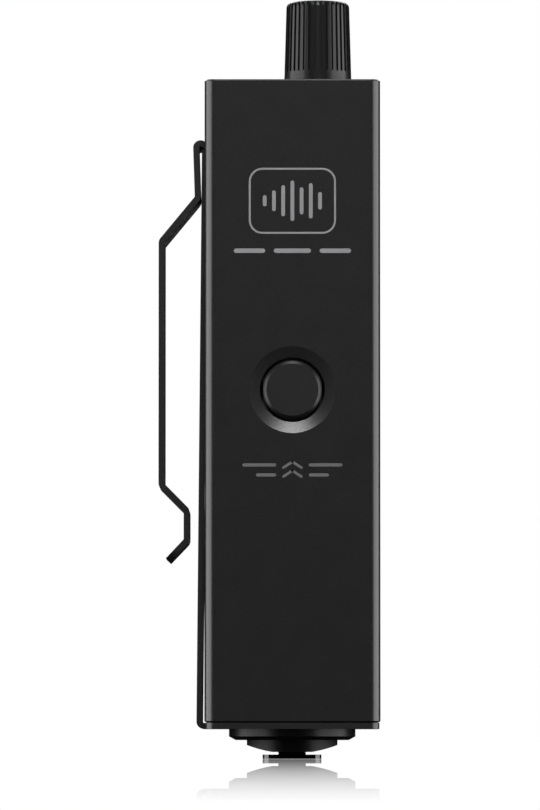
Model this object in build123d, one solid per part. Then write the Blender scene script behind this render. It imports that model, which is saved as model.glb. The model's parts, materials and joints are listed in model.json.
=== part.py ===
from build123d import *
import os
from math import atan2, degrees, tan

# Wired in-ear monitor bodypack. Millimetres, +Z up.
# Origin: on the receptacle's axis, at the collar's front face.
# +X is the worn unit's front, -X its clip side, -Y the face with the release button.

# ---- case sleeve
CASE_DEPTH = 33.4  # along X
CASE_WIDTH = 30.0  # along Y
CASE_CORNER_R = 2.1
CASE_WALL = 1.6
CASE_TOP = 125.5
CASE_EDGE_BREAK = 0.25
GROOVE_DEPTH = 0.9  # the flat channel in the rear wall that the clip's inner leg lies in
GROOVE_WIDTH = 17.0
GROOVE_WALL = 1.4

# ---- bottom plate and clip, one bent sheet in two nodes
SHEET = 1.15
PLATE_BOTTOM = 2.1
PLATE_TOP = PLATE_BOTTOM + SHEET
PLATE_INSET = 0.2
CLIP_WIDTH = 16.0
CLIP_TIP_R = 3.0
LEG_X_BOTTOM = -18.26  # the inner leg's outer face where it leaves the bottom bend
LEG_X_TOP = -17.25  # and where it meets the hairpin
HAIRPIN_Z = 113.0
HAIRPIN_GAP_R = 0.26
HAIRPIN_SPLIT = 0.3
BEND_R = 0.4

CASE_BOTTOM = PLATE_TOP + 0.1

# ---- release button
BUTTON_Z = 66.4
BUTTON_R = 5.55
BUTTON_FLAT_R = 4.95
BUTTON_HOLE_R = 6.15
DISH_R = 8.25
DISH_DEPTH = 1.1
BUTTON_ROOT_Z = 44.0

# ---- three-pin audio receptacle
COLLAR_R = 12.1
COLLAR_FACE_R = 10.83
COLLAR_CHAMFER_H = 0.7
OPENING_R = 9.6
SHELL_R = 10.9
SHELL_BORE_R = 10.05
SHELL_TOP = 17.0
INSERT_R = 7.8
INSERT_FACE = 2.3
GAP_DEPTH = 14.0
CONTACT_PITCH_R = 3.5
CONTACT_BORE_R = 1.25
CONTACT_R = 1.9
CONTACT_DEPTH = 12.0
CONTACT_TOP = 20.2
HOOD_R = 8.7
HOOD_OFFSET = 5.2
HOOD_DOME_R = 24.0
HOOD_APEX = -2.58
HOOD_FLAT = -2.28
HOOD_BORE_R = 9.9

# ---- push tab
TAB_WIDTH = 5.3
TAB_PAD_WIDTH = 11.35
TAB_TIP = -3.61
TAB_PAD_THICKNESS = 0.84
TAB_PAD_DEPTH = 4.1
TAB_WING_SETBACK = 0.35
TAB_THICKNESS = 0.7
TAB_Y = 10.35  # inner face of the stem
TAB_PIVOT_Y = 11.0
TAB_PIVOT_Z = 8.5
TAB_PIN_R = 0.55

# ---- volume control
KNOB_X = 4.9
KNOB_Y = -5.5
KNOB_BASE_Z = 125.9
KNOB_TOP_Z = 141.0
KNOB_BASE_R = 6.42
KNOB_TOP_R = 5.98
KNOB_RIBS = 36
SHAFT_R = 3.0
RUNNING_GAP = 0.05

# ---- inside
JACK_X = 4.9
JACK_Y = 7.0
JACK_BORE_R = 1.8  # for a 3.5 mm plug
FRAME_REAR = -14.0
FRAME_FRONT = 14.6
FRAME_SIDE = 12.9
PANEL_BOTTOM = 123.2
PANEL_TOP = 124.9
BOARD_REAR = -1.8
BOARD_FRONT = -0.2
BOARD_HALF = 10.6
BOARD_BOTTOM = 29.0
BOARD_TOP = 119.0
BOARD_SCREWS = [(y, z) for y in (-8.2, 8.2) for z in (36.0, 106.0)]
PANEL_SCREWS = [(-10.7, -9.2), (-10.7, 9.2), (12.2, 0.0)]
PLATE_SCREWS = [(x, y) for x in (-12.0, 12.2) for y in (-10.6, 10.6)]
CELL_R = 5.25
CELL_LENGTH = 44.5
CELL_X = 8.7
CELL_Y = 5.6
CELL_BOTTOM = 27.2
HOLDER_REAR = 1.6
HOLDER_BOTTOM = 24.0
HOLDER_TOP = 75.2


def box(x0, x1, y0, y1, z0, z1):
    """A box between two corners."""
    corner = (min(x0, x1), min(y0, y1), min(z0, z1))
    return Pos(*corner) * Box(abs(x1 - x0), abs(y1 - y0), abs(z1 - z0), align=(Align.MIN,) * 3)


def rod(x, y, z0, z1, radius):
    """A cylinder along +Z."""
    return Pos(x, y, z0) * Cylinder(radius, z1 - z0, align=(Align.CENTER, Align.CENTER, Align.MIN))


def cone(x, y, z0, z1, r0, r1):
    """A cone along +Z."""
    return Pos(x, y, z0) * Cone(r0, r1, z1 - z0, align=(Align.CENTER, Align.CENTER, Align.MIN))


def rod_x(x0, x1, y, z, radius):
    """A cylinder along X."""
    return Pos((x0 + x1) / 2, y, z) * Rot(0, 90, 0) * Cylinder(radius, x1 - x0)


def rod_y(x, y0, y1, z, radius):
    """A cylinder along Y."""
    return Pos(x, (y0 + y1) / 2, z) * Rot(90, 0, 0) * Cylinder(radius, y1 - y0)


def rod_between(start, end, radius):
    """A cylinder from one point to another."""
    line = Line(start, end)
    return extrude(Plane(start, z_dir=line % 0) * Circle(radius), line.length)


def prism(face, z0, z1):
    """A face in the XY plane, extruded between two heights."""
    return Pos(0, 0, z0) * extrude(face, z1 - z0)


def across(face, half_width):
    """A face drawn as (x, z), extruded both ways along Y."""
    return extrude(Plane.XZ * face, half_width, both=True)


def bent_sheet(points, thickness, side, inner_r):
    """A bent sheet's section. The points lie on one face, and the metal is on one side of them:
    side +1 is the left of the path, -1 the right. Each bend keeps inner_r on its inside."""
    paths = {0.0: [], thickness: []}
    count = len(points)
    legs = [Vector(*points[i + 1]) - Vector(*points[i]) for i in range(count - 1)]
    legs = [leg.normalized() for leg in legs]
    for depth, path in paths.items():
        path.append(("line", Vector(*points[0]) + side * depth * Vector(-legs[0].Y, legs[0].X)))
        for i in range(1, count - 1):
            before, after = legs[i - 1], legs[i]
            turn = atan2(before.cross(after).Z, before.dot(after))
            way = 1 if turn > 0 else -1
            face_r = inner_r + (thickness if way == side else 0)
            radius = face_r - way * side * depth
            reach = face_r * tan(abs(turn) / 2)
            corner = Vector(*points[i])
            centre = corner - reach * before + way * face_r * Vector(-before.Y, before.X)
            start = centre - way * radius * Vector(-before.Y, before.X)
            end = centre - way * radius * Vector(-after.Y, after.X)
            middle = (start + end) * 0.5 - centre
            path.append(("line", start))
            path.append(("arc", centre + middle.normalized() * radius))
            path.append(("end", end))
        path.append(("line", Vector(*points[-1]) + side * depth * Vector(-legs[-1].Y, legs[-1].X)))
    edges = []
    for path in paths.values():
        at = path[0][1]
        middle = None
        for kind, point in path[1:]:
            if kind == "arc":
                middle = point
            elif kind == "end":
                edges.append(ThreePointArc(at, middle, point))
                at = point
            else:
                edges.append(Line(at, point))
                at = point
    near, far = paths[0.0], paths[thickness]
    edges.append(Line(near[0][1], far[0][1]))
    edges.append(Line(near[-1][1], far[-1][1]))
    return make_face(edges)


def case_outline(inset=0.0):
    return RectangleRounded(CASE_DEPTH - 2 * inset, CASE_WIDTH - 2 * inset, CASE_CORNER_R - inset)


def make_sleeve():
    """The extruded case that slides up off the chassis, with its groove, dish and button hole."""
    hollow = RectangleRounded(CASE_DEPTH - 2 * CASE_WALL, CASE_WIDTH - 2 * CASE_WALL, 0.8)
    rear = -CASE_DEPTH / 2
    bump_depth = GROOVE_DEPTH + GROOVE_WALL
    bump = Pos(rear + bump_depth / 2, 0) * Rectangle(bump_depth, GROOVE_WIDTH + 2 * GROOVE_WALL)
    groove = Pos(rear, 0) * RectangleRounded(2 * GROOVE_DEPTH, GROOVE_WIDTH, 0.4)
    section = case_outline() - (hollow - bump) - groove
    case = prism(section, CASE_BOTTOM, CASE_TOP)
    rims = case.edges().group_by(Axis.Z)
    outer = [e for e in rims[-1] + rims[0] if abs(e.center().Y) > CASE_WIDTH / 2 - CASE_WALL + 0.5]
    case = chamfer(outer, CASE_EDGE_BREAK)
    sphere_r = (DISH_R**2 + DISH_DEPTH**2) / (2 * DISH_DEPTH)
    face_y = -CASE_WIDTH / 2
    dish = Pos(0, face_y - sphere_r + DISH_DEPTH, BUTTON_Z) * Sphere(sphere_r)
    hole = rod_y(0, face_y - 1, face_y + CASE_WALL + 1, BUTTON_Z, BUTTON_HOLE_R)
    return case - dish - hole


def make_release_button():
    """The latch button, moulded in one with the leaf that it flexes on."""
    face_y = -CASE_WIDTH / 2
    lip = BUTTON_R - BUTTON_FLAT_R
    turned = Rot(90, 0, 0) * Cone(BUTTON_R, BUTTON_FLAT_R, lip)
    crown = Pos(0, face_y + lip / 2, BUTTON_Z) * turned
    stem = rod_y(0, face_y + lip, -12.9, BUTTON_Z, BUTTON_R)
    flange = box(-5.6, 5.6, -13.1, -12.1, BUTTON_Z - 7, BUTTON_Z + 7)
    leaf = box(-3, 3, -13.0, -12.1, BUTTON_ROOT_Z, BUTTON_Z - 6.5)
    foot = box(-4.5, 4.5, -13.0, -12.1, BUTTON_ROOT_Z - 5, BUTTON_ROOT_Z + 0.5)
    return crown + stem + flange + leaf + foot


def rounded_strip(width, corner_r, x_low, z_low, z_high):
    """A cutter that keeps a strip's width and rounds its two lower corners, seen along X."""
    length = z_high - z_low
    keep = RectangleRounded(width, length + 4 * corner_r, corner_r)
    middle = z_low + (length + 4 * corner_r) / 2
    return extrude(Plane((x_low, 0, middle), x_dir=(0, 1, 0), z_dir=(1, 0, 0)) * keep, 12)


def make_bottom_plate():
    """The plate under the case and the clip's inner leg, one sheet bent up behind the case."""
    plate = prism(case_outline(PLATE_INSET), PLATE_BOTTOM, PLATE_TOP)
    leg_top = HAIRPIN_Z - HAIRPIN_SPLIT
    path = [(-12.0, PLATE_BOTTOM), (LEG_X_BOTTOM, PLATE_BOTTOM), (LEG_X_TOP, leg_top)]
    leg = across(bent_sheet(path, SHEET, -1, 0.25), CLIP_WIDTH / 2)
    opening = rod(0, 0, 0, 6, SHELL_R + 0.1)
    notch = box(-4.75, 4.75, 8, 13.0, 0, 6)
    sheet = plate + leg - opening - notch
    for x, y in PLATE_SCREWS:
        sheet -= rod(x, y, 0, 6, 1.05)
        sheet -= cone(x, y, PLATE_BOTTOM, PLATE_BOTTOM + 0.95, 2.0, 1.05)
    return sheet


def make_clip_arm():
    """The clip's outer leg, with the hairpin that springs it against the inner leg."""
    centre_x = LEG_X_TOP - HAIRPIN_GAP_R
    inner, outer = HAIRPIN_GAP_R, HAIRPIN_GAP_R + SHEET
    hairpin = Circle(outer) - Circle(inner) - Pos(0, -outer) * Rectangle(2 * outer, 2 * outer)
    bend = Pos(centre_x, HAIRPIN_Z) * hairpin
    face = [
        (centre_x - outer, HAIRPIN_Z),
        (-18.62, 103.6),
        (-25.5, 95.3),
        (-25.5, 48.3),
        (-20.7, 43.45),
        (-20.7, 38.2),
        (-24.1, 34.6),
    ]
    leg = bent_sheet(face, SHEET, 1, BEND_R)
    arm = across(bend + leg, CLIP_WIDTH / 2)
    return arm & rounded_strip(CLIP_WIDTH, CLIP_TIP_R, -28, 33.0, 110.0)


def countersunk_screw(x, y, z, length, shank_r, head_r, down):
    """A flat-head screw whose head is flush at z. down is -1 when its tip points up."""
    head_h = head_r - shank_r
    if down < 0:
        body = cone(x, y, z, z + head_h, head_r, shank_r) + rod(x, y, z + head_h, z + length, shank_r)
        slot = box(x - 0.8, x + 0.8, y - 0.2, y + 0.2, z, z + 0.4)
        cross = box(x - 0.2, x + 0.2, y - 0.8, y + 0.8, z, z + 0.4)
        return body - slot - cross
    body = cone(x, y, z - head_h, z, shank_r, head_r) + rod(x, y, z - length, z - head_h, shank_r)
    slot = box(x - 0.8, x + 0.8, y - 0.2, y + 0.2, z - 0.4, z)
    cross = box(x - 0.2, x + 0.2, y - 0.8, y + 0.8, z - 0.4, z)
    return body - slot - cross


def make_plate_screws():
    """Four flush screws that hold the bottom plate to the frame."""
    return [countersunk_screw(x, y, PLATE_BOTTOM, 7.0, 0.95, 1.85, -1) for x, y in PLATE_SCREWS]


def make_panel_screws():
    """Three flush screws that hold the top panel to the frame."""
    return [countersunk_screw(x, y, PANEL_TOP, 7.0, 0.8, 1.6, 1) for x, y in PANEL_SCREWS]


def make_inner_frame():
    """The moulded frame: a block round the receptacle, a back, two side walls and a top rim."""
    rear, front, side = FRAME_REAR, FRAME_FRONT, FRAME_SIDE
    base = box(rear, front, -side, side, PLATE_TOP + 0.05, 14)
    back = box(rear, rear + 1.5, -9.6, 9.6, 10, 118)
    walls = box(rear + 0.6, 1.5, -side, -11.0, 10, 118) + box(rear + 0.6, 1.5, 11.0, side, 10, 118)
    rim = box(rear, front, -side, side, 116, PANEL_BOTTOM) - box(-12.5, 13.1, -11.4, 11.4, 110, 130)
    frame = base + back + walls + rim
    frame -= rod(0, 0, 0, 20, SHELL_R + 0.2) + rod(0, 0, 0, 5.6, 12.4)
    frame -= box(-4.8, 4.8, 8, 15, 0, 14)
    for y in (-1, 1):
        frame += box(rear, rear + 1.5, y * 9.0, y * 11.5, 10, 118)
    for x, y in PANEL_SCREWS:
        frame += rod(x, y, 108 if x < 0 else 116, PANEL_BOTTOM, 2.3)
    for y, z in BOARD_SCREWS:
        frame += rod_x(rear + 1, BOARD_REAR, y, z, 2.2)
    for z in (24, 50, 86):
        frame -= box(rear - 1, rear + 3, -7, 7, z, z + 20)
    frame -= box(-10.5, -4, 8, 20, 42, 78) + box(-10.5, -7.2, -20, -8, 80, 90)
    frame -= box(-6.3, 6.3, -14, -12.0, 37, 76) + box(-7, 7, -14, -8, 56, 76)
    frame -= box(-6.0, -2.0, -14, -10.7, 89, 102)
    for x, y in PANEL_SCREWS:
        frame -= rod(x, y, PANEL_TOP - 8, 130, 0.85)
    for x, y in PLATE_SCREWS:
        frame -= rod(x, y, 0, 11, 1.0)
    for y, z in BOARD_SCREWS:
        frame -= rod_x(-9, 2, y, z, 0.8)
    return frame


def make_top_panel():
    """The end panel inside the case's top, with holes for the controls."""
    width = FRAME_FRONT - FRAME_REAR
    middle = (FRAME_FRONT + FRAME_REAR) / 2
    outline = Pos(middle, 0) * RectangleRounded(width, 2 * FRAME_SIDE + 0.4, 0.8)
    panel = prism(outline, PANEL_BOTTOM, PANEL_TOP)
    panel -= rod(KNOB_X, KNOB_Y, 120, 130, 3.55) + rod(JACK_X, JACK_Y, 120, 130, 3.05)
    panel -= rod(-8.0, 0, 120, 130, 1.55)
    for x, y in PANEL_SCREWS:
        panel -= rod(x, y, 120, 130, 0.9) + cone(x, y, PANEL_TOP - 0.85, PANEL_TOP, 0.85, 1.7)
    return panel


def make_main_board():
    """The circuit board, upright across the frame, notched where the button travels."""
    board = box(BOARD_REAR, BOARD_FRONT, -BOARD_HALF, BOARD_HALF, BOARD_BOTTOM, BOARD_TOP)
    board -= box(-5, 5, -20, -8.4, 56, 77)
    for y, z in BOARD_SCREWS:
        board -= rod_x(-5, 5, y, z, 1.05)
    return board


def make_board_screws():
    """Four pan-head screws that hold the board to the frame's posts."""
    screws = []
    for y, z in BOARD_SCREWS:
        head = rod_x(BOARD_FRONT, BOARD_FRONT + 1.1, y, z, 1.8)
        slot = box(BOARD_FRONT + 0.7, BOARD_FRONT + 1.2, y - 0.2, y + 0.2, z - 2, z + 2)
        screws.append(head - slot + rod_x(-7.5, BOARD_FRONT, y, z, 0.78))
    return screws


def leaded_chip(y, z, half_y, half_z, height, legs):
    """A chip on the board's rear face: body, and legs along both long sides."""
    body = box(BOARD_REAR - height, BOARD_REAR - 0.1, y - half_y, y + half_y, z - half_z, z + half_z)
    pitch = 2 * half_z / legs
    for i in range(legs):
        at = z - half_z + (i + 0.5) * pitch
        for way in (-1, 1):
            reach = way * (half_y + 0.8)
            body += box(BOARD_REAR - 0.3, BOARD_REAR, y + way * (half_y - 0.1), y + reach, at - 0.2, at + 0.2)
    return body


def make_amplifier_chip():
    return leaded_chip(0.0, 82.0, 2.0, 3.1, 1.6, 4)


def make_small_chips():
    """The input amplifier and the supply controller."""
    return [leaded_chip(2.0, 44.0, 2.0, 2.5, 1.5, 4), leaded_chip(-2.5, 60.0, 1.6, 1.5, 1.2, 3)]


def make_capacitors():
    """Electrolytic cans on the board's rear face, each on its square foot."""
    cans = []
    for y, z, r, height in ((6.0, 60, 2.5, 5.6), (5.6, 72, 3.1, 6.2), (-5.5, 86.5, 2.5, 5.6), (5.5, 92, 2.5, 5.6)):
        foot = box(BOARD_REAR - 1.0, BOARD_REAR, y - r, y + r, z - r, z + r)
        cans.append(foot + rod_x(BOARD_REAR - height, BOARD_REAR - 0.9, y, z, r - 0.1))
    return cans


def make_inductor():
    """The boost converter's coil on the board's rear face."""
    core = box(BOARD_REAR - 2.6, BOARD_REAR, -6.4, -0.8, 48.4, 54.0)
    well = rod_x(BOARD_REAR - 2.7, BOARD_REAR - 1.8, -3.6, 51.2, 1.9)
    return core - well


def make_chip_parts():
    """Small resistors and ceramic capacitors on the board's front face, above the cells."""
    parts = []
    for row in range(4):
        for column in range(5):
            y, z = -6.4 + 3.2 * column, 80.0 + 3.6 * row
            parts.append(box(BOARD_FRONT, BOARD_FRONT + 0.6, y - 0.4, y + 0.4, z - 0.8, z + 0.8))
    return parts


def make_input_header():
    """The small connector that the receptacle's wires plug into."""
    body = box(BOARD_REAR - 3.9, BOARD_REAR, -4.4, 4.4, 29.2, 33.4)
    return body - box(BOARD_REAR - 3.4, BOARD_REAR - 0.6, -3.8, 3.8, 28.0, 31.9)


def make_input_wires():
    """Three short wires from the contacts' cups to the header."""
    ends = [(CONTACT_PITCH_R, 0, 2.4), (0, -CONTACT_PITCH_R, 0), (-CONTACT_PITCH_R, 0, -2.4)]
    low, high = CONTACT_TOP + 0.4, BOARD_BOTTOM + 0.6
    top_x = BOARD_REAR - 2.0
    return [rod_between((x, y, low), (top_x, across_y, high), 0.5) for x, y, across_y in ends]


def make_battery_holder():
    """An open tray for two small round cells, with a wall at each end."""
    tray = box(HOLDER_REAR, 14.4, -12.5, 12.5, HOLDER_BOTTOM, HOLDER_TOP)
    tray -= box(HOLDER_REAR + 1.5, 20, -11.1, 11.1, HOLDER_BOTTOM + 1.4, HOLDER_TOP - 1.4)
    tray -= box(-5, 7.0, -14, -10, 36, HOLDER_TOP + 1)
    tray -= box(11.5, 20, -14, 14, 34, 66)
    tray -= box(0, 20, 10.8, 14, 40, 60)
    return tray


def make_cell(y, z_up):
    """One cell. z_up is +1 with its positive cap on top."""
    body = rod(CELL_X, y, 0, CELL_LENGTH - 1.0, CELL_R)
    body = chamfer(body.edges().filter_by(GeomType.CIRCLE), 0.4)
    cell = body + rod(CELL_X, y, CELL_LENGTH - 1.0, CELL_LENGTH, 1.9)
    if z_up < 0:
        turned = Pos(CELL_X, y, 0) * Rot(180, 0, 0) * Pos(-CELL_X, -y, 0) * cell
        return Pos(0, 0, CELL_BOTTOM + CELL_LENGTH) * turned
    return Pos(0, 0, CELL_BOTTOM) * cell


def make_battery_springs():
    """A conical coil at the negative end of each cell, flattened to its closed turns."""
    springs = []
    low = HOLDER_BOTTOM + 1.4
    for y, z0, z1 in ((-CELL_Y, low, CELL_BOTTOM), (CELL_Y, CELL_BOTTOM + CELL_LENGTH, HOLDER_TOP - 1.4)):
        turns = 3
        step = (z1 - z0) / turns
        for i in range(turns):
            radius = 3.6 - 0.7 * (i if z0 == low else turns - 1 - i)
            ring = rod(CELL_X, y, z0 + i * step, z0 + (i + 1) * step, radius)
            ring -= rod(CELL_X, y, z0 + i * step - 1, z0 + (i + 1) * step + 1, radius - 1.0)
            springs.append(ring)
    lower, upper = springs[:3], springs[3:]
    return [lower[0] + lower[1] + lower[2], upper[0] + upper[1] + upper[2]]


def make_battery_contacts():
    """The plates that the cells' positive caps press on."""
    low = HOLDER_BOTTOM + 1.4
    high = HOLDER_TOP - 1.4
    lower = box(CELL_X - 3, CELL_X + 3, CELL_Y - 3, CELL_Y + 3, low, CELL_BOTTOM)
    upper = box(CELL_X - 3, CELL_X + 3, -CELL_Y - 3, -CELL_Y + 3, CELL_BOTTOM + CELL_LENGTH, high)
    return [lower, upper]


def hood_body():
    """The domed hood beside the opening: a disc whose end is an arc, cut flat at its middle."""
    disc = Pos(0, HOOD_OFFSET, 0) * rod(0, 0, -4, PLATE_BOTTOM, HOOD_R)
    dome_z = HOOD_APEX + HOOD_DOME_R
    dome = Pos(0, HOOD_OFFSET, dome_z) * Rot(90, 0, 0) * Cylinder(HOOD_DOME_R, 40)
    slab = box(-20, 20, -20, 30, HOOD_FLAT, 10)
    return (disc & dome & slab) - rod(0, 0, -5, 0, HOOD_BORE_R)


def make_receptacle_shell():
    """Collar, hood and barrel of the receptacle, with the tower that the push tab pivots in."""
    collar = cone(0, 0, 0, COLLAR_CHAMFER_H, COLLAR_FACE_R, COLLAR_R)
    collar += rod(0, 0, COLLAR_CHAMFER_H, PLATE_BOTTOM, COLLAR_R)
    barrel = rod(0, 0, PLATE_BOTTOM, SHELL_TOP, SHELL_R)
    tower = box(-4.6, 4.6, 6, 12.85, PLATE_BOTTOM, 12)
    shell = collar + hood_body() + barrel + tower
    shell -= rod(0, 0, -5, PLATE_BOTTOM, OPENING_R) + rod(0, 0, PLATE_BOTTOM, 30, SHELL_BORE_R)
    shell -= box(-2.9, 2.9, TAB_Y - RUNNING_GAP, 12.3, -5, PLATE_BOTTOM)
    shell -= box(-2.9, 2.9, 8.5, 12.3, PLATE_BOTTOM, 13)
    return shell - rod_x(-4.2, 4.2, TAB_PIVOT_Y, TAB_PIVOT_Z, TAB_PIN_R + 0.02)


def contact_places():
    return [(CONTACT_PITCH_R, 0), (0, -CONTACT_PITCH_R), (-CONTACT_PITCH_R, 0)]


def make_receptacle_insert():
    """The plastic insert that carries the three contacts and leaves a gap for a plug's shell."""
    nose = rod(0, 0, INSERT_FACE, GAP_DEPTH, INSERT_R)
    nose = chamfer(nose.edges().group_by(Axis.Z)[0], 0.4)
    insert = nose + rod(0, 0, GAP_DEPTH, SHELL_TOP, SHELL_BORE_R - 0.03)
    for x, y in contact_places():
        insert -= rod(x, y, 0, 30, CONTACT_R + 0.03)
    return insert


def make_receptacle_contacts():
    """Three tubular contacts, each open below for a pin and cupped above for a wire."""
    tubes = []
    for x, y in contact_places():
        tube = rod(x, y, INSERT_FACE + 0.2, CONTACT_TOP - 2, CONTACT_R)
        tube += rod(x, y, CONTACT_TOP - 2, CONTACT_TOP, 1.2)
        tubes.append(tube - rod(x, y, 0, CONTACT_DEPTH, CONTACT_BORE_R))
    return tubes


def make_receptacle_retainer():
    """The spring ring that holds the receptacle in the plate, open where the tab's tower is."""
    ring = rod(0, 0, PLATE_TOP + 0.05, 5.2, 12.2) - rod(0, 0, 0, 10, SHELL_R + 0.05)
    return ring - box(-5.0, 5.0, 5, 15, 0, 10)


def make_push_tab():
    """The rocking catch: a pad with two wings, a stem, a hook for the plug and a barrel round its pin."""
    half = TAB_WIDTH / 2
    outer = TAB_Y + TAB_PAD_DEPTH
    wing_depth = TAB_PAD_DEPTH - TAB_WING_SETBACK
    wings = Pos(0, outer - wing_depth / 2) * RectangleRounded(TAB_PAD_WIDTH, wing_depth, wing_depth / 2 - 0.05)
    pad = prism(wings, TAB_TIP, TAB_TIP + TAB_PAD_THICKNESS)
    pad += box(-half, half, TAB_Y, outer, TAB_TIP, TAB_TIP + TAB_PAD_THICKNESS)
    stem = box(-half, half, TAB_Y, TAB_Y + TAB_THICKNESS, TAB_TIP, TAB_PIVOT_Z)
    hook = box(-1.6, 1.6, 9.05, TAB_Y + 0.1, 2.8, 4.0)
    barrel = rod_x(-half, half, TAB_PIVOT_Y, TAB_PIVOT_Z, 1.0)
    bore = rod_x(-5, 5, TAB_PIVOT_Y, TAB_PIVOT_Z, TAB_PIN_R + RUNNING_GAP)
    return pad + stem + hook + barrel - bore


def make_tab_pin():
    return rod_x(-4.1, 4.1, TAB_PIVOT_Y, TAB_PIVOT_Z, TAB_PIN_R)


def make_tab_spring():
    """The bowed leaf between the stem and the tower's outer wall."""
    bow = Pos(13.2, 5.2) * (Circle(2.1) - Circle(1.9))
    keep = Pos(11.6, 5.2) * Rectangle(1.35, 6.0)
    leaf = bow & keep
    return extrude(Plane.YZ * leaf, 1.5, both=True)


def knob_body():
    """The knob's turned outline."""
    body = cone(KNOB_X, KNOB_Y, KNOB_BASE_Z, KNOB_TOP_Z, KNOB_BASE_R, KNOB_TOP_R)
    return fillet(body.edges().group_by(Axis.Z)[-1], 1.1)


def make_volume_knob():
    """A turned knob with flutes that run out through its top edge."""
    flute_w, flute_depth, flute_z = 0.55, 0.4, 127.6
    rise = KNOB_TOP_Z - flute_z
    flute = box(KNOB_TOP_R - flute_depth, 8, -flute_w / 2, flute_w / 2, 0, rise + 1)
    flute += Pos(KNOB_TOP_R - flute_depth + 1, 0, 0) * Rot(0, 90, 0) * Cylinder(flute_w / 2, 2)
    lean = degrees(atan2(KNOB_BASE_R - KNOB_TOP_R, KNOB_TOP_Z - KNOB_BASE_Z))
    cutter = Pos(KNOB_BASE_R - KNOB_TOP_R, 0, 0) * Rot(0, -lean, 0) * flute
    centre = Pos(KNOB_X, KNOB_Y, flute_z)
    step = 360 / KNOB_RIBS
    flutes = [centre * Rot(0, 0, (i + 0.5) * step) * cutter for i in range(KNOB_RIBS)]
    knob = knob_body() - flutes
    knob -= rod(KNOB_X, KNOB_Y, 120, 128.6, 5.5)
    knob -= rod(KNOB_X, KNOB_Y, 120, 138.2, SHAFT_R + 0.02)
    return knob - pointer_slot(0.0)


def pointer_slot(clearance):
    """The mark on the knob's top face, pointing to the low end of the travel."""
    slot = box(2.2, 5.0, -0.35, 0.35, KNOB_TOP_Z - 0.4, KNOB_TOP_Z - clearance)
    return Pos(KNOB_X, KNOB_Y, 0) * Rot(0, 0, -120) * slot


def make_knob_pointer():
    return pointer_slot(0.05)


def make_pot_shaft():
    return rod(KNOB_X, KNOB_Y, 117, 138.0, SHAFT_R)


def make_pot_body():
    """The potentiometer's case under the panel, with its row of pins to the board."""
    body = box(KNOB_X - 4.2, KNOB_X + 4.9, KNOB_Y - 5.2, KNOB_Y + 5.2, 115.5, PANEL_BOTTOM - 0.05)
    body -= rod(KNOB_X, KNOB_Y, 116.7, 130, 3.55)
    for y in (-2.5, 0, 2.5):
        pin_y = KNOB_Y + y
        body += box(BOARD_FRONT, KNOB_X - 4.1, pin_y - 0.3, pin_y + 0.3, 116.4, 116.9)
    return body


def make_pot_bushing():
    tube = rod(KNOB_X, KNOB_Y, 118.5, 127.4, 3.5)
    return tube - rod(KNOB_X, KNOB_Y, 110, 130, SHAFT_R + RUNNING_GAP)


def make_pot_washer():
    return rod(KNOB_X, KNOB_Y, PANEL_TOP, PANEL_TOP + 0.4, 4.8) - rod(KNOB_X, KNOB_Y, 120, 130, 3.55)


def make_pot_nut():
    z = PANEL_TOP + 0.4
    hexagon = Pos(KNOB_X, KNOB_Y) * RegularPolygon(4.4, 6, major_radius=False)
    return prism(hexagon, z, z + 1.8) - rod(KNOB_X, KNOB_Y, 120, 130, 3.52)


def make_jack_body():
    """The phones jack's moulded case."""
    body = box(JACK_X - 4.2, JACK_X + 4.2, JACK_Y - 3.9, JACK_Y + 3.9, 109.5, PANEL_BOTTOM - 0.05)
    body -= rod(JACK_X, JACK_Y, 118.0, 130, 3.05)
    return body - rod(JACK_X, JACK_Y, 111, 120, 2.4)


def make_jack_bushing():
    """The threaded sleeve that the plug enters."""
    tube = rod(JACK_X, JACK_Y, 118.0, 126.2, 3.0)
    return tube - rod(JACK_X, JACK_Y, 110, 130, JACK_BORE_R)


def make_jack_nut():
    """A round nut with two flats for a spanner."""
    ring = rod(JACK_X, JACK_Y, PANEL_TOP, PANEL_TOP + 1.2, 4.2)
    ring -= rod(JACK_X, JACK_Y, 120, 130, 3.02)
    for way in (-1, 1):
        middle = JACK_X + way * 4.2
        ring -= box(middle - 0.5, middle + 0.5, JACK_Y - 0.6, JACK_Y + 0.6, PANEL_TOP + 0.5, 130)
    return ring


def make_jack_contacts():
    """Three pins from the jack to the board."""
    pins = []
    for y, z in ((4.5, 112), (7.0, 115), (9.5, 112)):
        pins.append(box(BOARD_FRONT, JACK_X - 4.2, y - 0.4, y + 0.4, z - 0.15, z + 0.15))
    return pins


def make_status_light():
    """The lens in the panel, standing on a lamp body."""
    dome = rod(-8.0, 0, PANEL_BOTTOM - 2, PANEL_TOP + 0.4, 1.5)
    dome = fillet(dome.edges().group_by(Axis.Z)[-1], 0.5)
    return dome + rod(-8.0, 0, PANEL_BOTTOM - 3, PANEL_BOTTOM - 0.1, 1.9)


def make_mode_switch():
    """The stereo or mono switch's case, behind a window in the frame's side wall."""
    case = box(-5.4, BOARD_REAR, -10.5, -6.6, 90.5, 100.5)
    return case - box(-4.5, -2.5, -11, -8.0, 92.4, 98.6)


def make_mode_slider():
    return box(-4.2, -2.8, -12.3, -8.3, 93.0, 95.6)


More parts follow.
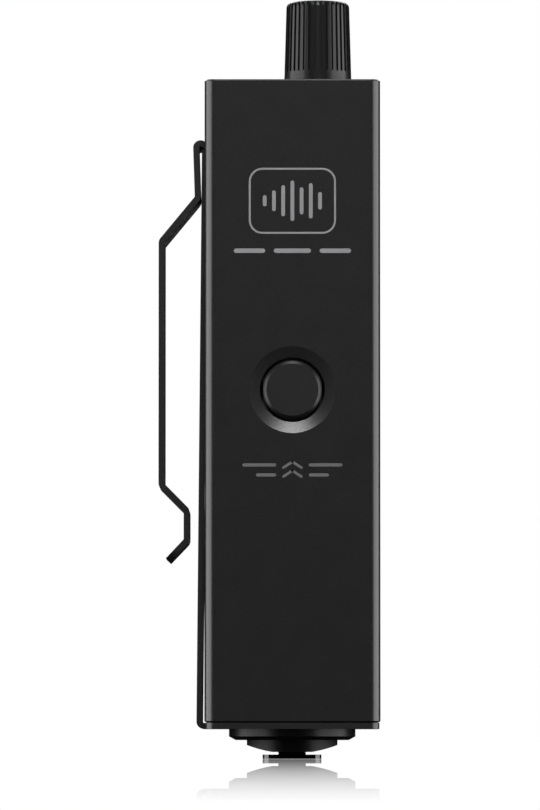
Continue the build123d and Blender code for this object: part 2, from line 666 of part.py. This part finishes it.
def main():
    nodes = {
        "case_sleeve": make_sleeve(),
        "release_button": make_release_button(),
        "bottom_plate": make_bottom_plate(),
        "clip_arm": make_clip_arm(),
        "plate_screws": make_plate_screws(),
        "panel_screws": make_panel_screws(),
        "inner_frame": make_inner_frame(),
        "top_panel": make_top_panel(),
        "main_board": make_main_board(),
        "board_screws": make_board_screws(),
        "amplifier_chip": make_amplifier_chip(),
        "small_chips": make_small_chips(),
        "capacitors": make_capacitors(),
        "inductor": make_inductor(),
        "chip_parts": make_chip_parts(),
        "input_header": make_input_header(),
        "input_wires": make_input_wires(),
        "battery_holder": make_battery_holder(),
        "battery_cell_1": make_cell(-CELL_Y, 1),
        "battery_cell_2": make_cell(CELL_Y, -1),
        "battery_springs": make_battery_springs(),
        "battery_contacts": make_battery_contacts(),
        "receptacle_shell": make_receptacle_shell(),
        "receptacle_insert": make_receptacle_insert(),
        "receptacle_contacts": make_receptacle_contacts(),
        "receptacle_retainer": make_receptacle_retainer(),
        "push_tab": make_push_tab(),
        "tab_pin": make_tab_pin(),
        "tab_spring": make_tab_spring(),
        "volume_knob": make_volume_knob(),
        "knob_pointer": make_knob_pointer(),
        "pot_shaft": make_pot_shaft(),
        "pot_body": make_pot_body(),
        "pot_bushing": make_pot_bushing(),
        "pot_washer": make_pot_washer(),
        "pot_nut": make_pot_nut(),
        "jack_body": make_jack_body(),
        "jack_bushing": make_jack_bushing(),
        "jack_nut": make_jack_nut(),
        "jack_contacts": make_jack_contacts(),
        "status_light": make_status_light(),
        "mode_switch": make_mode_switch(),
        "mode_slider": make_mode_slider(),
    }
    os.makedirs("parts", exist_ok=True)
    for name, shape in nodes.items():
        solids = shape if isinstance(shape, list) else [shape]
        export_step(Compound([s for piece in solids for s in piece.solids()]), f"parts/{name}.step")


main()
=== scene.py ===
import json
import math

import bmesh
import bpy
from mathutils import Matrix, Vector


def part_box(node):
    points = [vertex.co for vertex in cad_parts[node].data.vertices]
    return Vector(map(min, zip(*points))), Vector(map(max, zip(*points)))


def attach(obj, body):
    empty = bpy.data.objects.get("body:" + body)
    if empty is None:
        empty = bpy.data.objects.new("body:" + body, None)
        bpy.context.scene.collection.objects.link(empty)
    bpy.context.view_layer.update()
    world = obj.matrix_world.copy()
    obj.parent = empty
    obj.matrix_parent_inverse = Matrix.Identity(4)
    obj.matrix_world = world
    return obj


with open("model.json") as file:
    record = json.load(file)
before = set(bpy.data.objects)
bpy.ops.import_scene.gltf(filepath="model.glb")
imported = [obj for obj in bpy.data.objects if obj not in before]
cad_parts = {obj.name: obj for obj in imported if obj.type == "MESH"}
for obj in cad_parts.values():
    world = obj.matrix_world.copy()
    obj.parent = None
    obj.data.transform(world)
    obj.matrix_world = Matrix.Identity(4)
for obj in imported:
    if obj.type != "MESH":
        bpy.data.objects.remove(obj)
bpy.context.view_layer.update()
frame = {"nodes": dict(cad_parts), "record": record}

MM = 0.001


# ---- what the frame says

def node_box(node):
    """A node's lowest and highest corners, as vectors."""
    low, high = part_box(node)
    return Vector(low), Vector(high)


BUTTON_CENTRE_BELOW_TOP = 7.0 * MM
FACE_Y = node_box("case_sleeve")[0].y
BUTTON_Z = node_box("release_button")[1].z - BUTTON_CENTRE_BELOW_TOP
TAB_BOTTOM = node_box("push_tab")[0].z


# ---- materials

def new_material(name, colour, roughness, metallic=0.0, specular=0.5):
    """A Principled material, its shader and its node tree."""
    material = bpy.data.materials.new(name)
    material.use_nodes = True
    tree = material.node_tree
    shader = tree.nodes["Principled BSDF"]
    shader.inputs["Base Color"].default_value = (*colour, 1.0)
    shader.inputs["Roughness"].default_value = roughness
    shader.inputs["Metallic"].default_value = metallic
    shader.inputs["Specular IOR Level"].default_value = specular
    return material, shader, tree


def object_coords(tree, stretch=(1, 1, 1)):
    """Object coordinates in metres, optionally scaled along each axis."""
    coords = tree.nodes.new("ShaderNodeTexCoord")
    mapping = tree.nodes.new("ShaderNodeMapping")
    mapping.inputs["Scale"].default_value = stretch
    tree.links.new(coords.outputs["Object"], mapping.inputs["Vector"])
    return mapping.outputs["Vector"]


def noise(tree, vector, size, detail=3.0):
    """Noise whose features are about size metres across."""
    node = tree.nodes.new("ShaderNodeTexNoise")
    node.inputs["Scale"].default_value = 1.0 / size
    node.inputs["Detail"].default_value = detail
    tree.links.new(vector, node.inputs["Vector"])
    return node.outputs["Fac"]


NOISE_LOW = 0.3
NOISE_HIGH = 0.7


def spread(tree, value, low, high):
    """Noise mapped to low to high. Nearly all of it lies between NOISE_LOW and NOISE_HIGH."""
    node = tree.nodes.new("ShaderNodeMapRange")
    node.inputs["From Min"].default_value = NOISE_LOW
    node.inputs["From Max"].default_value = NOISE_HIGH
    node.inputs["To Min"].default_value = low
    node.inputs["To Max"].default_value = high
    tree.links.new(value, node.inputs["Value"])
    return node.outputs["Result"]


def two_tone(tree, value, dark, light):
    """A colour that wanders between two tones."""
    node = tree.nodes.new("ShaderNodeMix")
    node.data_type = "RGBA"
    node.inputs["A"].default_value = (*dark, 1.0)
    node.inputs["B"].default_value = (*light, 1.0)
    tree.links.new(value, node.inputs["Factor"])
    return node.outputs["Result"]


def add_bump(tree, shader, height, depth):
    """Fine relief, depth metres high where the height is 1."""
    node = tree.nodes.new("ShaderNodeBump")
    node.inputs["Distance"].default_value = depth
    node.inputs["Strength"].default_value = 1.0
    tree.links.new(height, node.inputs["Height"])
    tree.links.new(node.outputs["Normal"], shader.inputs["Normal"])


BROAD_TO_FINE = 40  # how much wider the patches of tone are than the grain


def grained(name, dark, light, rough, grain, depth, metallic=0.0, specular=0.5, stretch=(1, 1, 1)):
    """A surface with a fine grain: its colour, roughness and relief all vary a little."""
    material, shader, tree = new_material(name, dark, rough[0], metallic, specular)
    vector = object_coords(tree, stretch)
    fine = noise(tree, vector, grain)
    broad = noise(tree, vector, grain * BROAD_TO_FINE, 2.0)
    tone = two_tone(tree, spread(tree, broad, 0.0, 1.0), dark, light)
    tree.links.new(tone, shader.inputs["Base Color"])
    tree.links.new(spread(tree, fine, *rough), shader.inputs["Roughness"])
    add_bump(tree, shader, fine, depth)
    return material


def anodised(name, level, rough):
    """Black anodised aluminium with a fine bead-blasted grain."""
    dark = (level, level, level * 1.02)
    light = (level * 1.25, level * 1.25, level * 1.3)
    return grained(name, dark, light, rough, 0.12 * MM, 0.0016 * MM)


def turned_knob():
    """Black anodised aluminium with lathe rings round the knob's axis."""
    colour = (0.005, 0.005, 0.0053)
    material, shader, tree = new_material("knob_anodised", colour, 0.34, specular=0.26)
    squeeze = (1, 1, 60)
    rings = noise(tree, object_coords(tree, squeeze), 3.0 * MM, 4.0)
    fine = noise(tree, object_coords(tree), 0.1 * MM)
    tree.links.new(spread(tree, fine, 0.28, 0.36), shader.inputs["Roughness"])
    add_bump(tree, shader, rings, 0.002 * MM)
    return material


def brushed(name, colour, rough, stretch):
    """Bare metal with a fine grain, which an uneven stretch draws out into lines."""
    dark = tuple(0.82 * c for c in colour)
    return grained(name, dark, colour, rough, 0.5 * MM, 0.002 * MM, metallic=1.0, stretch=stretch)


def chrome():
    """Polished black plating with faint wear in its roughness."""
    material, shader, tree = new_material("black_chrome", (0.055, 0.055, 0.058), 0.12, metallic=1.0)
    smear = noise(tree, object_coords(tree), 1.5 * MM, 4.0)
    tree.links.new(spread(tree, smear, 0.10, 0.18), shader.inputs["Roughness"])
    return material


def circuit_board():
    """Green solder mask over copper tracks that show as slightly raised, lighter lines."""
    material, shader, tree = new_material("solder_mask", (0.01, 0.10, 0.04), 0.3)
    vector = object_coords(tree)
    tracks = tree.nodes.new("ShaderNodeTexBrick")
    tracks.inputs["Scale"].default_value = 1.0
    tracks.inputs["Brick Width"].default_value = 3.1 * MM
    tracks.inputs["Row Height"].default_value = 0.9 * MM
    tracks.inputs["Mortar Size"].default_value = 0.12 * MM
    turn = tree.nodes.new("ShaderNodeMapping")
    turn.inputs["Rotation"].default_value = (0, math.radians(90), 0)
    tree.links.new(vector, turn.inputs["Vector"])
    tree.links.new(turn.outputs["Vector"], tracks.inputs["Vector"])
    tone = two_tone(tree, tracks.outputs["Fac"], (0.008, 0.085, 0.03), (0.02, 0.16, 0.06))
    tree.links.new(tone, shader.inputs["Base Color"])
    add_bump(tree, shader, tracks.outputs["Fac"], 0.02 * MM)
    return material


def lens():
    """The status light's clear green dome."""
    material, shader, _ = new_material("light_lens", (0.55, 0.9, 0.6), 0.12)
    shader.inputs["Transmission Weight"].default_value = 0.7
    shader.inputs["IOR"].default_value = 1.49
    return material


def print_ink(name, level):
    """Laser-marked print: a light grey, matt and faintly uneven."""
    dark = (level * 0.96, level * 0.96, level)
    light = (level * 1.05, level * 1.05, level * 1.07)
    return grained(name, dark, light, (0.55, 0.65), 0.1 * MM, 0.001 * MM, specular=0.25)


def grey(level, blue=None):
    """A grey, or one whose blue is a little different."""
    return (level, level, level if blue is None else blue)


SLOT_MATERIALS = {
    "case": anodised("case_anodised", 0.008, (0.26, 0.32)),
    "sheet": grained(
        "clip_powder_coat", grey(0.006, 0.0063), grey(0.008, 0.0083), (0.30, 0.38),
        0.25 * MM, 0.006 * MM),
    "knob": turned_knob(),
    "button": anodised("button_satin", 0.0085, (0.28, 0.34)),
    "shell": grained(
        "shell_black", grey(0.006, 0.0062), grey(0.008), (0.30, 0.38),
        0.2 * MM, 0.003 * MM, specular=0.17),
    "insert": grained(
        "insert_black", grey(0.01), grey(0.013), (0.45, 0.55), 0.2 * MM, 0.004 * MM),
    "chrome": chrome(),
    "contact": brushed("gold_flash", (0.85, 0.62, 0.25), (0.18, 0.28), (1, 1, 8)),
    "steel": brushed("zinc_steel", grey(0.55, 0.57), (0.25, 0.38), (6, 6, 1)),
    "screw": grained(
        "black_oxide", grey(0.01), grey(0.016), (0.35, 0.45), 0.15 * MM, 0.003 * MM, metallic=0.6),
    "frame": grained(
        "frame_moulded", grey(0.014, 0.016), grey(0.02, 0.022), (0.5, 0.62), 0.2 * MM, 0.006 * MM),
    "board": circuit_board(),
    "chip": grained("chip_mould", grey(0.01), grey(0.016), (0.5, 0.6), 0.1 * MM, 0.004 * MM),
    "can": brushed("can_aluminium", grey(0.72, 0.74), (0.25, 0.35), (1, 1, 1)),
    "ferrite": grained(
        "ferrite", grey(0.03, 0.032), grey(0.05, 0.052), (0.55, 0.7), 0.2 * MM, 0.006 * MM),
    "cell": grained(
        "cell_jacket", (0.02, 0.03, 0.05), (0.026, 0.038, 0.06), (0.25, 0.32),
        0.4 * MM, 0.001 * MM),
    "wire": grained(
        "wire_insulation", grey(0.02, 0.022), grey(0.03), (0.4, 0.5), 0.3 * MM, 0.003 * MM),
    "white": grained(
        "white_plastic", grey(0.62, 0.6), grey(0.72, 0.7), (0.4, 0.5), 0.2 * MM, 0.003 * MM),
    "lens": lens(),
}
INK_LOGO = print_ink("mark_grey", 0.185)
INK_TEXT = print_ink("mark_dim", 0.086)


def dress_cad_nodes():
    """Every CAD node takes the material of its slot."""
    slots = {part["node"]: part["material_slot"] for part in frame["record"]["subparts"]}
    for name, node in frame["nodes"].items():
        for slot in node.material_slots:
            slot.material = SLOT_MATERIALS[slots[name]]


# ---- pieces

SMOOTH_ANGLE = math.radians(35.0)


def finish_piece(name, mesh, material, body):
    """Makes an object of a bmesh, smooths it by angle and rides it on its body."""
    data = bpy.data.meshes.new(name)
    mesh.to_mesh(data)
    mesh.free()
    piece = bpy.data.objects.new(name, data)
    bpy.context.scene.collection.objects.link(piece)
    data.materials.append(material)
    for face in data.polygons:
        face.use_smooth = True
    data.set_sharp_from_angle(angle=SMOOTH_ANGLE)
    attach(piece, body)
    return piece


MARK_RELIEF = 0.012 * MM
MARK_ABOVE_BUTTON = 35.9 * MM
NAME_ABOVE_BUTTON = 26.4 * MM
ARROWS_BELOW_BUTTON = 14.6 * MM
LEVEL_HEIGHTS_MM = (1.4, 3.2, 5.2, 7.0, 4.4, 6.0, 2.6)
LEVEL_PITCH_MM = 1.75
LEVEL_WIDTH = 0.72 * MM
NAME_DASHES_MM = ((-10.7, -5.6), (-3.1, 3.1), (5.6, 10.7))
NAME_WIDTH = 0.85 * MM
CHEVRON_WIDTH = 0.5 * MM
BAR_ENDS_MM = ((3.4, 9.2), (3.4, 6.6))
BAR_WIDTH = 0.62 * MM


def add_plate(mesh, outline):
    """A thin printed shape on the face. The outline is a loop of (x, z) points in metres."""
    back = [mesh.verts.new((x, FACE_Y + MARK_RELIEF, z)) for x, z in outline]
    front = [mesh.verts.new((x, FACE_Y - MARK_RELIEF, z)) for x, z in outline]
    mesh.faces.new(front)
    mesh.faces.new(list(reversed(back)))
    count = len(outline)
    for i in range(count):
        j = (i + 1) % count
        mesh.faces.new((front[j], front[i], back[i], back[j]))


def stroke(x0, z0, x1, z1, width, steps=8):
    """The outline of a straight stroke with round ends."""
    along = Vector((x1 - x0, z1 - z0))
    angle = math.atan2(along.y, along.x)
    points = []
    for i in range(steps + 1):
        turn = angle - math.pi / 2 + math.pi * i / steps
        points.append((x1 + width / 2 * math.cos(turn), z1 + width / 2 * math.sin(turn)))
    for i in range(steps + 1):
        turn = angle + math.pi / 2 + math.pi * i / steps
        points.append((x0 + width / 2 * math.cos(turn), z0 + width / 2 * math.sin(turn)))
    return points


def rounded_loop(x, z, half_x, half_z, corner, steps=8):
    """The points of a rounded rectangle on the face, counter-clockwise."""
    points = []
    for quarter, (sx, sz) in enumerate(((1, 1), (-1, 1), (-1, -1), (1, -1))):
        for i in range(steps + 1):
            turn = math.pi / 2 * (quarter + i / steps)
            reach_x = sx * (half_x - corner) + corner * math.cos(turn)
            reach_z = sz * (half_z - corner) + corner * math.sin(turn)
            points.append((x + reach_x, z + reach_z))
    return points


def add_ring(mesh, x, z, half_x, half_z, corner, width):
    """A printed rounded frame: one closed band between two loops."""
    grow = width / 2
    outer = rounded_loop(x, z, half_x + grow, half_z + grow, corner + grow)
    inner = rounded_loop(x, z, half_x - grow, half_z - grow, corner - grow)
    rows = []
    for loop, y in ((outer, -1), (inner, -1), (inner, 1), (outer, 1)):
        rows.append([mesh.verts.new((px, FACE_Y + y * MARK_RELIEF, pz)) for px, pz in loop])
    count = len(outer)
    for row, following in zip(rows, rows[1:] + rows[:1]):
        for i in range(count):
            j = (i + 1) % count
            mesh.faces.new((row[j], following[j], following[i], row[i]))


def level_mark():
    """A generic mark: a rounded frame with a row of level bars."""
    mesh = bmesh.new()
    middle_z = BUTTON_Z + MARK_ABOVE_BUTTON
    add_ring(mesh, 0, middle_z, 8.1 * MM, 6.1 * MM, 2.4 * MM, 0.36 * MM)
    for i, height in enumerate(LEVEL_HEIGHTS_MM):
        x = (i - (len(LEVEL_HEIGHTS_MM) - 1) / 2) * LEVEL_PITCH_MM * MM
        reach = height / 2 * MM
        add_plate(mesh, stroke(x, middle_z - reach, x, middle_z + reach, LEVEL_WIDTH))
    return finish_piece("level_mark", mesh, INK_LOGO, "sleeve")


def name_rule():
    """A plain broken rule where a name would stand."""
    mesh = bmesh.new()
    z = BUTTON_Z + NAME_ABOVE_BUTTON
    for x0, x1 in NAME_DASHES_MM:
        add_plate(mesh, stroke(x0 * MM, z, x1 * MM, z, NAME_WIDTH))
    return finish_piece("name_rule", mesh, INK_LOGO, "sleeve")


def slide_arrows():
    """Two chevrons that show which way the case slides, with two bars each side."""
    mesh = bmesh.new()
    z = BUTTON_Z - ARROWS_BELOW_BUTTON
    for row in range(2):
        top = z + (0.9 - 1.7 * row) * MM
        for side in (-1, 1):
            add_plate(mesh, stroke(side * 1.7 * MM, top - 1.1 * MM, 0, top, CHEVRON_WIDTH))
    for side in (-1, 1):
        for row, (near, far) in enumerate(BAR_ENDS_MM):
            height = z + (0.3 - 1.9 * row) * MM
            add_plate(mesh, stroke(side * near * MM, height, side * far * MM, height, BAR_WIDTH))
    return finish_piece("slide_arrows", mesh, INK_TEXT, "sleeve")


# ---- camera, light and floor

CAMERA_X = -4.25 * MM
CAMERA_Z = -2.0 * MM
CAMERA_DISTANCE = 1.4
AIM_Z = 63.47 * MM
VIEW_HEIGHT = 153.64 * MM
SENSOR = 36.0
SIDE_RADIANCE = 4.4
FRONT_RADIANCE = 21.0
TOP_RADIANCE = 6.0
BACK_RADIANCE = 4.0
ROOM_LEVEL = 0.012
BAND_FROM_Y = 0.975  # the white band behind: how far round it reaches
BAND_Z = 0.004  # its height, as a direction
BAND_HALF = 0.008
FLOOR_GLOSS_REACH = 1.18  # how far in front of the object the floor's gloss ends
FLOOR_GLOSS_FALL = -2.6
FLOOR_GLOSS = 0.94
FLOOR_HALF = 6.0
FLOOR_CLEARANCE = 0.02 * MM


def add_camera():
    """A long lens from low down in front, with the whole object in view."""
    data = bpy.data.cameras.new("camera")
    camera = bpy.data.objects.new("camera", data)
    bpy.context.scene.collection.objects.link(camera)
    eye = Vector((CAMERA_X, FACE_Y - CAMERA_DISTANCE, CAMERA_Z))
    aim = Vector((CAMERA_X, FACE_Y, AIM_Z))
    camera.location = eye
    camera.rotation_euler = (aim - eye).to_track_quat("-Z", "Y").to_euler()
    data.sensor_width = SENSOR
    data.lens = SENSOR * (aim - eye).length / VIEW_HEIGHT
    data.clip_start = 0.01
    data.clip_end = 20.0
    bpy.context.scene.camera = camera


def area_light(name, place, aim, size_x, size_y, radiance):
    """A rectangular panel whose face has the given brightness, seen only by what it lights."""
    data = bpy.data.lights.new(name, "AREA")
    data.shape = "RECTANGLE"
    data.size = size_x
    data.size_y = size_y
    data.energy = radiance * math.pi * size_x * size_y
    light = bpy.data.objects.new(name, data)
    bpy.context.scene.collection.objects.link(light)
    light.location = place
    direction = Vector(aim) - Vector(place)
    light.rotation_euler = direction.to_track_quat("-Z", "Y").to_euler()
    light.visible_camera = False


def add_lights():
    """A broad panel each side, a far one in front, one overhead and a high one behind."""
    middle = Vector((0, 0, 60 * MM))
    beside = (0, -0.24, 0.07)
    for name, x in (("side_left", -0.75), ("side_right", 0.75)):
        area_light(name, (x, *beside[1:]), beside, 1.02, 0.9, SIDE_RADIANCE)
    area_light("top_front", (0, -2.46, 1.74), middle, 1.02, 0.78, FRONT_RADIANCE)
    area_light("top", (0, -0.30, 0.90), middle, 0.34, 0.7, TOP_RADIANCE)
    area_light("behind", (0, 1.10, 0.75), middle, 1.4, 0.5, BACK_RADIANCE)


def math_node(tree, operation, *values):
    """A maths node whose inputs are numbers or sockets."""
    node = tree.nodes.new("ShaderNodeMath")
    node.operation = operation
    for socket, value in zip(node.inputs, values):
        if isinstance(value, (int, float)):
            socket.default_value = value
        else:
            tree.links.new(value, socket)
    return node.outputs["Value"]


def add_world():
    """A white backdrop for the camera. For everything else, a dark room with a low white band behind."""
    world = bpy.data.worlds.new("studio")
    world.use_nodes = True
    tree = world.node_tree
    coords = tree.nodes.new("ShaderNodeTexCoord")
    split = tree.nodes.new("ShaderNodeSeparateXYZ")
    seen = tree.nodes.new("ShaderNodeLightPath")
    tree.links.new(coords.outputs["Generated"], split.inputs["Vector"])
    behind = math_node(tree, "GREATER_THAN", split.outputs["Y"], BAND_FROM_Y)
    low = math_node(tree, "COMPARE", split.outputs["Z"], BAND_Z, BAND_HALF)
    band = math_node(tree, "MULTIPLY", behind, low)
    lit = math_node(tree, "MAXIMUM", band, ROOM_LEVEL)
    strength = math_node(tree, "MAXIMUM", lit, seen.outputs["Is Camera Ray"])
    tree.links.new(strength, tree.nodes["Background"].inputs["Strength"])
    tree.nodes["Background"].inputs["Color"].default_value = (1, 1, 1, 1)
    bpy.context.scene.world = world


def smooth_fade(tree, value, gone, full):
    """A smooth step from 0 where the value is gone to 1 where it is full."""
    node = tree.nodes.new("ShaderNodeMapRange")
    node.interpolation_type = "SMOOTHSTEP"
    node.inputs["From Min"].default_value = gone
    node.inputs["From Max"].default_value = full
    tree.links.new(value, node.inputs["Value"])
    return node.outputs["Result"]


def floor_material():
    """A pale table: glossy round the object, and an even white further out on every side."""
    material, shader, tree = new_material("floor_pale", grey(0.9), 0.0)
    even_white = tree.nodes.new("ShaderNodeEmission")
    split = tree.nodes.new("ShaderNodeSeparateXYZ")
    tree.links.new(object_coords(tree), split.inputs["Vector"])
    offset = FLOOR_GLOSS_FALL * FLOOR_GLOSS_REACH
    ahead = math_node(tree, "MULTIPLY_ADD", split.outputs["Y"], FLOOR_GLOSS_FALL, offset)
    fade = math_node(tree, "SUBTRACT", 1.0, math_node(tree, "EXPONENT", ahead))
    under = smooth_fade(tree, split.outputs["Y"], 0.5, 0.02)
    beside = smooth_fade(tree, math_node(tree, "ABSOLUTE", split.outputs["X"]), 0.65, 0.15)
    gloss = math_node(tree, "MULTIPLY", math_node(tree, "MAXIMUM", fade, 0.0), under)
    gloss = math_node(tree, "MULTIPLY", gloss, beside)
    mix = tree.nodes.new("ShaderNodeMixShader")
    tree.links.new(math_node(tree, "MULTIPLY", gloss, FLOOR_GLOSS), mix.inputs["Fac"])
    tree.links.new(even_white.outputs["Emission"], mix.inputs[1])
    tree.links.new(shader.outputs["BSDF"], mix.inputs[2])
    tree.links.new(mix.outputs["Shader"], tree.nodes["Material Output"].inputs["Surface"])
    return material


def add_floor():
    """The table, just under the push tab. It shows no light of its own in the object's dark faces."""
    mesh = bmesh.new()
    z = TAB_BOTTOM - FLOOR_CLEARANCE
    corners = ((-1, -1), (1, -1), (1, 1), (-1, 1))
    mesh.faces.new([mesh.verts.new((x * FLOOR_HALF, y * FLOOR_HALF, z)) for x, y in corners])
    data = bpy.data.meshes.new("floor")
    mesh.to_mesh(data)
    mesh.free()
    floor = bpy.data.objects.new("floor", data)
    bpy.context.scene.collection.objects.link(floor)
    data.materials.append(floor_material())
    floor.visible_glossy = False
    floor.visible_diffuse = False


bpy.context.scene.view_settings.view_transform = "Standard"
dress_cad_nodes()
level_mark()
name_rule()
slide_arrows()
add_camera()
add_lights()
add_world()
add_floor()
